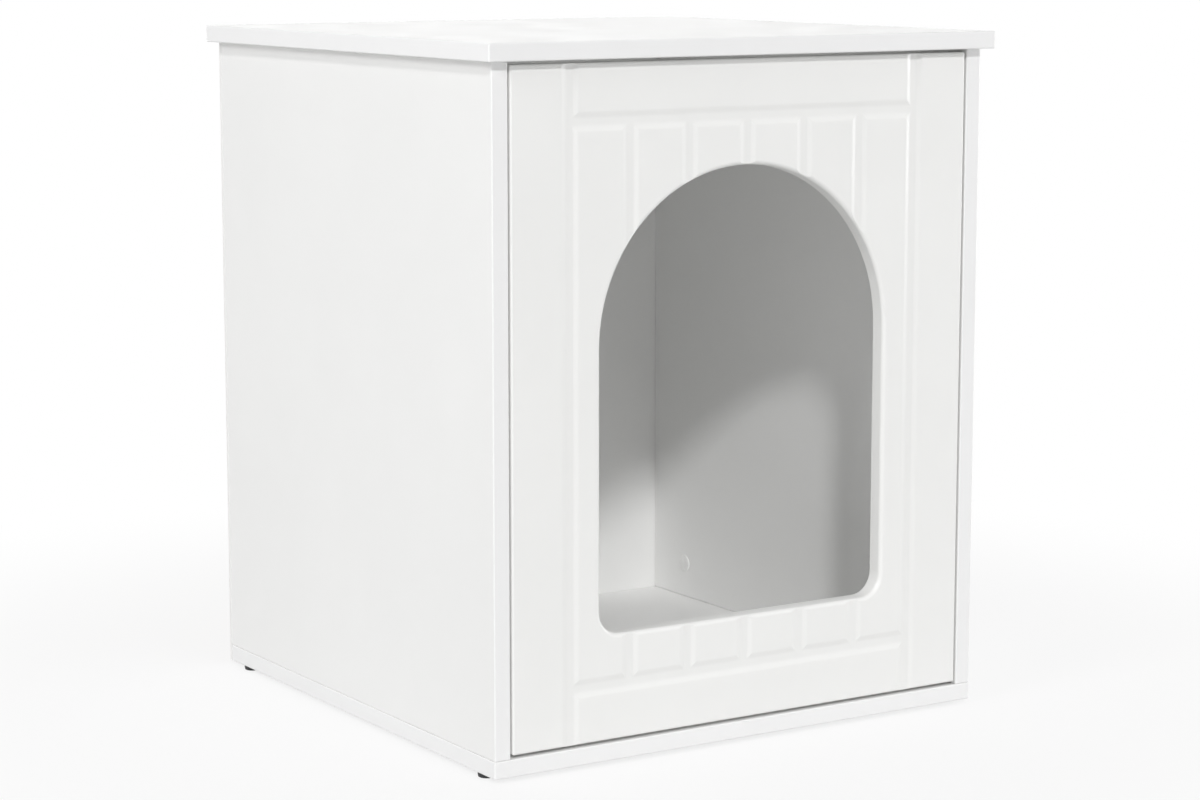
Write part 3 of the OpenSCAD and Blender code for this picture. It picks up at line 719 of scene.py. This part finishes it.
def eased(node, width, material):
    """Makes a copy of a CAD node with its sharp edges eased, as a deburred or moulded piece has them."""
    piece = joined_copy(node)
    bpy.ops.mesh.dissolve_limited(angle_limit=math.radians(0.5))
    bpy.ops.object.mode_set(mode="OBJECT")
    finished(softened(piece, width), f"{node}_eased", node, material)


# Settings


class StageSettings(bpy.types.PropertyGroup):
    """The camera, the lights and the floor"""

    camera_place: FloatVectorProperty(
        name="Camera", description="Where the camera stands", size=3, unit="LENGTH",
        default=(-1.4638, -2.3056, 0.6899),
    )
    camera_turn: FloatProperty(
        name="Turn", description="Camera's turn to the right of straight back", subtype="ANGLE",
        default=math.radians(32.603),
    )
    camera_tilt: FloatProperty(
        name="Tilt", description="Camera's tilt below the horizon", subtype="ANGLE",
        default=math.radians(8.863),
    )
    lens: FloatProperty(
        name="Lens", description="Focal length on a 36 mm sensor", default=91.18, min=20, max=300
    )
    key_strength: FloatProperty(
        name="Key", description="Share of the light that comes from the key lamp", default=0.434, min=0, max=2
    )
    key_softness: FloatProperty(
        name="Key softness", description="Angle across the key lamp", subtype="ANGLE",
        default=math.radians(5),
    )
    left_strength: FloatProperty(
        name="Left", description="Light from the panel on the left", default=0.326, min=0, max=2
    )
    right_strength: FloatProperty(
        name="Right", description="Light from the panel on the right", default=0.3, min=0, max=2
    )
    back_strength: FloatProperty(
        name="Back", description="Light from the panel behind on the right", default=0.3, min=0, max=2
    )
    inside_strength: FloatProperty(
        name="Inside", description="Light from the small panel just inside the arch", default=0.065,
        min=0, max=2,
    )
    room_strength: FloatProperty(
        name="Room", description="Light from the room all round", default=0.3, min=0, max=2
    )
    floor_colour: FloatVectorProperty(
        name="Floor", description="Colour of the floor", subtype="COLOR", size=3, default=(0.8, 0.8, 0.8)
    )
    shadow_share: FloatProperty(
        name="Shadow", description="How much of the shadow shows on the white floor", default=0.2,
        min=0, max=1,
    )


class BoardSettings(bpy.types.PropertyGroup):
    """The coated boards of the carcass"""

    colour: FloatVectorProperty(
        name="Coating", description="Colour of the coated boards", subtype="COLOR", size=3,
        default=(0.9, 0.9, 0.891),
    )
    band_colour: FloatVectorProperty(
        name="Bands", description="Colour of the bands on the edges", subtype="COLOR", size=3,
        default=(0.905, 0.905, 0.905),
    )
    glue_colour: FloatVectorProperty(
        name="Glue", description="Colour of the glue line beside an edge band", subtype="COLOR", size=3,
        default=(0.5, 0.47, 0.42),
    )
    roughness: FloatProperty(
        name="Roughness", description="Roughness of the coating", default=0.5, min=0, max=1
    )
    pearl_size: FloatProperty(
        name="Pearl", description="Width of the bumps in the coating", unit="LENGTH", default=0.9 * MM
    )
    pearl_depth: FloatProperty(
        name="Pearl depth", description="Depth of the bumps in the coating", unit="LENGTH",
        default=0.045 * MM,
    )
    band_thickness: FloatProperty(
        name="Edge band", description="Thickness of the band on a board's edge", unit="LENGTH",
        default=0.8 * MM,
    )
    seam_width: FloatProperty(
        name="Seam", description="Width of the glue line beside an edge band", unit="LENGTH",
        default=0.12 * MM,
    )


class DoorSettings(bpy.types.PropertyGroup):
    """The foil on the routed door"""

    colour: FloatVectorProperty(
        name="Foil", description="Colour of the foil", subtype="COLOR", size=3, default=(0.9, 0.9, 0.887)
    )
    roughness: FloatProperty(
        name="Roughness", description="Roughness of the foil", default=0.42, min=0, max=1
    )
    peel_size: FloatProperty(
        name="Peel", description="Width of the ripples in the foil", unit="LENGTH", default=2.2 * MM
    )
    peel_depth: FloatProperty(
        name="Peel depth", description="Depth of the ripples in the foil", unit="LENGTH",
        default=0.025 * MM,
    )


class BackSettings(bpy.types.PropertyGroup):
    """The hardboard at the back"""

    lacquer: FloatVectorProperty(
        name="Lacquer", description="Colour of the inner face", subtype="COLOR", size=3,
        default=(0.9, 0.9, 0.891),
    )
    fibre: FloatVectorProperty(
        name="Fibre", description="Colour of the bare outer face", subtype="COLOR", size=3,
        default=(0.36, 0.235, 0.13),
    )
    fibre_size: FloatProperty(
        name="Fibre size", description="Width of the flecks in the bare face", unit="LENGTH",
        default=1.6 * MM,
    )


class MetalSettings(bpy.types.PropertyGroup):
    """Plated metal of the hinges, screws and fittings"""

    nickel: FloatVectorProperty(
        name="Nickel", description="Colour of the hinges' nickel plate", subtype="COLOR", size=3,
        default=(0.66, 0.64, 0.6),
    )
    zinc: FloatVectorProperty(
        name="Zinc", description="Colour of the screws' zinc plate", subtype="COLOR", size=3,
        default=(0.7, 0.72, 0.74),
    )
    cast: FloatVectorProperty(
        name="Cast zinc", description="Colour of the cast cams", subtype="COLOR", size=3,
        default=(0.5, 0.5, 0.51),
    )
    ferrite: FloatVectorProperty(
        name="Ferrite", description="Colour of the catch's magnet", subtype="COLOR", size=3,
        default=(0.045, 0.042, 0.04),
    )


class TrimSettings(bpy.types.PropertyGroup):
    """Plastic and beech"""

    white: FloatVectorProperty(
        name="White plastic", description="Colour of the catch's housing", subtype="COLOR", size=3,
        default=(0.82, 0.82, 0.81),
    )
    cap: FloatVectorProperty(
        name="Caps", description="Colour of the caps over the cams", subtype="COLOR", size=3,
        default=(0.93, 0.93, 0.92),
    )
    black: FloatVectorProperty(
        name="Black plastic", description="Colour of the feet", subtype="COLOR", size=3,
        default=(0.018, 0.018, 0.02),
    )
    beech: FloatVectorProperty(
        name="Beech", description="Colour of the dowels", subtype="COLOR", size=3,
        default=(0.6, 0.42, 0.25),
    )


class CatHouseSettings(bpy.types.PropertyGroup):
    """All settings of the cat house"""

    stage: PointerProperty(type=StageSettings)
    boards: PointerProperty(type=BoardSettings)
    door: PointerProperty(type=DoorSettings)
    back: PointerProperty(type=BackSettings)
    metal: PointerProperty(type=MetalSettings)
    trim: PointerProperty(type=TrimSettings)


# The stage


def seen_directly(tree):
    """1 for what the camera sees, straight on or in metal or glass."""
    path = add_node(tree, "LightPath").outputs
    seen = maths(tree, "MAXIMUM", path["Is Camera Ray"], path["Is Glossy Ray"])
    return maths(tree, "MAXIMUM", seen, path["Is Transmission Ray"])


def make_room(look):
    """White behind the object, and an even light all round it."""
    world = bpy.data.worlds.new("studio")
    world.use_nodes = True
    bpy.context.scene.world = world
    tree = world.node_tree
    tree.nodes.clear()
    strength = between(tree, seen_directly(tree), look.room_strength, 1.0)
    light = add_node(tree, "Background", {"Color": WHITE, "Strength": strength})
    add_node(tree, "OutputWorld", {"Surface": light.outputs[0]})


def make_floor(look):
    """A pale floor that turns pure white away from the object's shadow."""
    bpy.ops.object.select_all(action="DESELECT")
    bpy.ops.mesh.primitive_plane_add(size=FLOOR_SIZE)
    floor = bpy.context.object
    floor.name = "studio_floor"
    material, tree, shader = new_surface("studio_floor", look.floor_colour, roughness=0.9)
    place = place_along(tree)
    across = maths(tree, "MULTIPLY", place["X"], place["X"])
    along = maths(tree, "MULTIPLY", place["Y"], place["Y"])
    distance = maths(tree, "SQRT", maths(tree, "ADD", across, along))
    white = ramp(tree, distance, FADE_START, FADE_END, 1.0 - look.shadow_share, 1.0)
    mask = maths(tree, "MULTIPLY", white, seen_directly(tree))
    glow = add_node(tree, "Emission", {"Color": WHITE, "Strength": 1.0})
    mixed = add_node(tree, "MixShader", {0: mask, 1: shader.outputs[0], 2: glow.outputs[0]})
    tree.links.new(mixed.outputs[0], tree.nodes["Material Output"].inputs["Surface"])
    floor.data.materials.append(material)


def add_lamp(data, direction, target, distance):
    """A lamp whose light falls along the direction, onto the target."""
    lamp = bpy.data.objects.new(data.name, data)
    bpy.context.scene.collection.objects.link(lamp)
    direction = Vector(direction).normalized()
    lamp.location = target - direction * distance
    lamp.rotation_euler = direction.to_track_quat("-Z", "Y").to_euler()


def add_sun(name, strength, direction, angle):
    """A key lamp that gives its strength as a share of white on a face turned towards it."""
    data = bpy.data.lights.new(name, "SUN")
    data.energy = strength * math.pi
    data.angle = angle
    add_lamp(data, direction, MIDDLE, LAMP_DISTANCE)


def add_panel(name, strength, direction, size, target=MIDDLE, distance=LAMP_DISTANCE):
    """A round soft panel that gives about its strength as a share of white at its target."""
    data = bpy.data.lights.new(name, "AREA")
    data.shape = "DISK"
    data.size = size
    data.energy = strength * math.pi**2 * distance**2
    add_lamp(data, direction, target, distance)


def add_lights(look):
    """The key lamp, the panels left, right and behind, and the small one just inside the arch."""
    add_sun("key_lamp", look.key_strength, KEY_DIRECTION, look.key_softness)
    add_panel("left_panel", look.left_strength, LEFT_DIRECTION, SIDE_PANEL_SIZE)
    add_panel("right_panel", look.right_strength, RIGHT_DIRECTION, SIDE_PANEL_SIZE)
    add_panel("back_panel_light", look.back_strength, BACK_DIRECTION, BACK_PANEL_SIZE)
    back_wall = Vector((MIDDLE.x, BACK_LOW.y, DOOR_LOW.z + ARCH_MIDDLE_HEIGHT))
    depth = BACK_LOW.y - DOOR_HIGH.y - INSIDE_PANEL_GAP
    add_panel("inside_panel", look.inside_strength, INWARD, INSIDE_PANEL_SIZE, back_wall, depth)


def make_camera(look):
    """The camera at the photograph's viewing angle."""
    data = bpy.data.cameras.new("camera")
    data.lens = look.lens
    data.sensor_width = 36.0
    data.clip_end = 200.0
    camera = bpy.data.objects.new("camera", data)
    bpy.context.scene.collection.objects.link(camera)
    camera.location = look.camera_place
    camera.rotation_euler = Euler((math.pi / 2 - look.camera_tilt, 0.0, -look.camera_turn))
    bpy.context.scene.camera = camera


class CATHOUSE_OT_stage(bpy.types.Operator):
    """Makes the camera, the lights and a white studio floor"""

    bl_idname = "cathouse.stage"
    bl_label = "Studio"
    bl_options = {"REGISTER", "UNDO"}

    def execute(self, context):
        look = context.scene.cat_house.stage
        context.scene.view_settings.view_transform = "Standard"
        make_room(look)
        make_floor(look)
        make_camera(look)
        add_lights(look)
        return {"FINISHED"}


# The cat house


class CATHOUSE_OT_boards(bpy.types.Operator):
    """Coats the top, bottom and side boards, with bands on the edges that show"""

    bl_idname = "cathouse.boards"
    bl_label = "Boards"
    bl_options = {"REGISTER", "UNDO"}

    def execute(self, context):
        look = context.scene.cat_house.boards
        top_edges = [(X, TOP_LOW.x), (X, TOP_HIGH.x), (Y, TOP_LOW.y), (Y, TOP_HIGH.y)]
        bottom_edges = [(X, BOTTOM_LOW.x), (X, BOTTOM_HIGH.x), (Y, BOTTOM_LOW.y)]
        side_edges = [(Y, BOTTOM_LOW.y)]
        dress(["top_board"], coated_board("top_coating", top_edges, look))
        dress(["bottom_board"], coated_board("bottom_coating", bottom_edges, look))
        dress(["left_side_panel", "right_side_panel"], coated_board("side_coating", side_edges, look))
        return {"FINISHED"}


class CATHOUSE_OT_back(bpy.types.Operator):
    """Lacquers the inner face of the hardboard and leaves its outer face bare"""

    bl_idname = "cathouse.back"
    bl_label = "Back panel"
    bl_options = {"REGISTER", "UNDO"}

    def execute(self, context):
        dress(["back_panel"], hardboard(context.scene.cat_house.back))
        return {"FINISHED"}


class CATHOUSE_OT_door(bpy.types.Operator):
    """Wraps the routed door in satin foil"""

    bl_idname = "cathouse.door"
    bl_label = "Door"
    bl_options = {"REGISTER", "UNDO"}

    def execute(self, context):
        dress(["door"], door_foil(context.scene.cat_house.door))
        return {"FINISHED"}


class CATHOUSE_OT_hinges(bpy.types.Operator):
    """Plates the cup hinges, eases their cups and arms, and makes their threaded screws"""

    bl_idname = "cathouse.hinges"
    bl_label = "Hinges"
    bl_options = {"REGISTER", "UNDO"}

    def execute(self, context):
        look = context.scene.cat_house.metal
        nickel = plated("nickel_plate", look.nickel, roughness=0.26, streaks=Z)
        zinc = plated("zinc_plate", look.zinc, roughness=0.32, streaks=Z)
        for place in ("upper", "lower"):
            dress([f"{place}_hinge_cup", f"{place}_hinge_arm", f"{place}_mounting_plate"], nickel)
            dress([f"{place}_hinge_pin"], zinc)
            eased(f"{place}_hinge_cup", CUP_EDGE, nickel)
            eased(f"{place}_hinge_arm", ARM_EDGE, nickel)
        dress(["cup_screws", "plate_screws", "arm_fixing_screws", "side_adjusting_screws"], zinc)
        stand_in("cup_screws", screw(WOOD_THREAD), Y, 1, zinc)
        stand_in("plate_screws", screw(PLATE_THREAD), X, -1, zinc)
        stand_in("arm_fixing_screws", screw(MACHINE_THREAD, point=0.3), X, -1, zinc)
        stand_in("side_adjusting_screws", screw(MACHINE_THREAD, point=0.3), X, -1, zinc)
        return {"FINISHED"}


class CATHOUSE_OT_catch(bpy.types.Operator):
    """Finishes the magnetic catch and its strike plate, eases their edges and makes their screws"""

    bl_idname = "cathouse.catch"
    bl_label = "Catch"
    bl_options = {"REGISTER", "UNDO"}

    def execute(self, context):
        look = context.scene.cat_house
        plastic = moulded("catch_plastic", look.trim.white, roughness=0.38)
        steel = plated("catch_steel", look.metal.zinc, roughness=0.3, streaks=Z)
        magnet = sintered("ferrite", look.metal.ferrite)
        dress(["catch_housing"], plastic)
        dress(["catch_magnet"], magnet)
        dress(["catch_pole_plates", "strike_plate", "strike_screw", "catch_screws"], steel)
        eased("catch_housing", HOUSING_EDGE, plastic)
        eased("catch_magnet", MAGNET_EDGE, magnet)
        eased("catch_pole_plates", PLATE_EDGE, steel)
        eased("strike_plate", PLATE_EDGE, steel)
        stand_in("catch_screws", screw(WOOD_THREAD), X, 1, steel)
        stand_in("strike_screw", screw(WOOD_THREAD, domed=False), Y, 1, steel)
        return {"FINISHED"}


class CATHOUSE_OT_fittings(bpy.types.Operator):
    """Finishes the cams, and makes the threaded bolts, the caps, the fluted dowels and the nails"""

    bl_idname = "cathouse.fittings"
    bl_label = "Fittings"
    bl_options = {"REGISTER", "UNDO"}

    def execute(self, context):
        look = context.scene.cat_house
        cast = plated("cast_zinc", look.metal.cast, roughness=0.42, streaks=X, streak_depth=0.02 * MM)
        zinc = plated("bolt_zinc", look.metal.zinc, roughness=0.3, streaks=Z)
        caps = moulded("cap_plastic", look.trim.cap, roughness=0.4)
        beech = turned_beech(look.trim.beech)
        dress(["cam_locks"], cast)
        dress(["cam_bolts", "back_panel_nails", "foot_nails"], zinc)
        dress(["cam_caps"], caps)
        dress(["dowels"], beech)
        stand_in("cam_bolts", cam_bolt, Z, towards_middle, zinc)
        stand_in("cam_caps", cover_cap, X, towards_middle, caps)
        stand_in("dowels", fluted_dowel, Z, 1, beech)
        stand_in("back_panel_nails", nail, Y, 1, zinc)
        stand_in("foot_nails", nail, Z, -1, zinc)
        return {"FINISHED"}


class CATHOUSE_OT_feet(bpy.types.Operator):
    """Makes the four moulded feet"""

    bl_idname = "cathouse.feet"
    bl_label = "Feet"
    bl_options = {"REGISTER", "UNDO"}

    def execute(self, context):
        look = context.scene.cat_house.trim
        black = moulded("foot_plastic", look.black, roughness=0.48)
        feet = ["front_left_foot", "front_right_foot", "back_left_foot", "back_right_foot"]
        dress(feet, black)
        for foot in feet:
            stand_in(foot, moulded_foot, Z, 1, black)
        return {"FINISHED"}


OPERATORS = [
    CATHOUSE_OT_stage,
    CATHOUSE_OT_boards,
    CATHOUSE_OT_back,
    CATHOUSE_OT_door,
    CATHOUSE_OT_hinges,
    CATHOUSE_OT_catch,
    CATHOUSE_OT_fittings,
    CATHOUSE_OT_feet,
]


class CATHOUSE_PT_panel(bpy.types.Panel):
    """Lists the pieces of the cat house"""

    bl_idname = "CATHOUSE_PT_panel"
    bl_label = "Cat House"
    bl_space_type = "VIEW_3D"
    bl_region_type = "UI"
    bl_category = "Cat House"

    def draw(self, context):
        for operator in OPERATORS:
            self.layout.operator(operator.bl_idname)


CLASSES = [
    StageSettings,
    BoardSettings,
    DoorSettings,
    BackSettings,
    MetalSettings,
    TrimSettings,
    CatHouseSettings,
    *OPERATORS,
    CATHOUSE_PT_panel,
]


def register():
    """Adds the classes and the settings to Blender."""
    for item in CLASSES:
        bpy.utils.register_class(item)
    bpy.types.Scene.cat_house = PointerProperty(type=CatHouseSettings)


def unregister():
    """Takes the settings and the classes out again."""
    del bpy.types.Scene.cat_house
    for item in reversed(CLASSES):
        bpy.utils.unregister_class(item)


def main():
    """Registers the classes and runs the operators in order."""
    register()
    for operator in OPERATORS:
        group, name = operator.bl_idname.split(".")
        getattr(getattr(bpy.ops, group), name)()


if __name__ == "__main__":
    main()
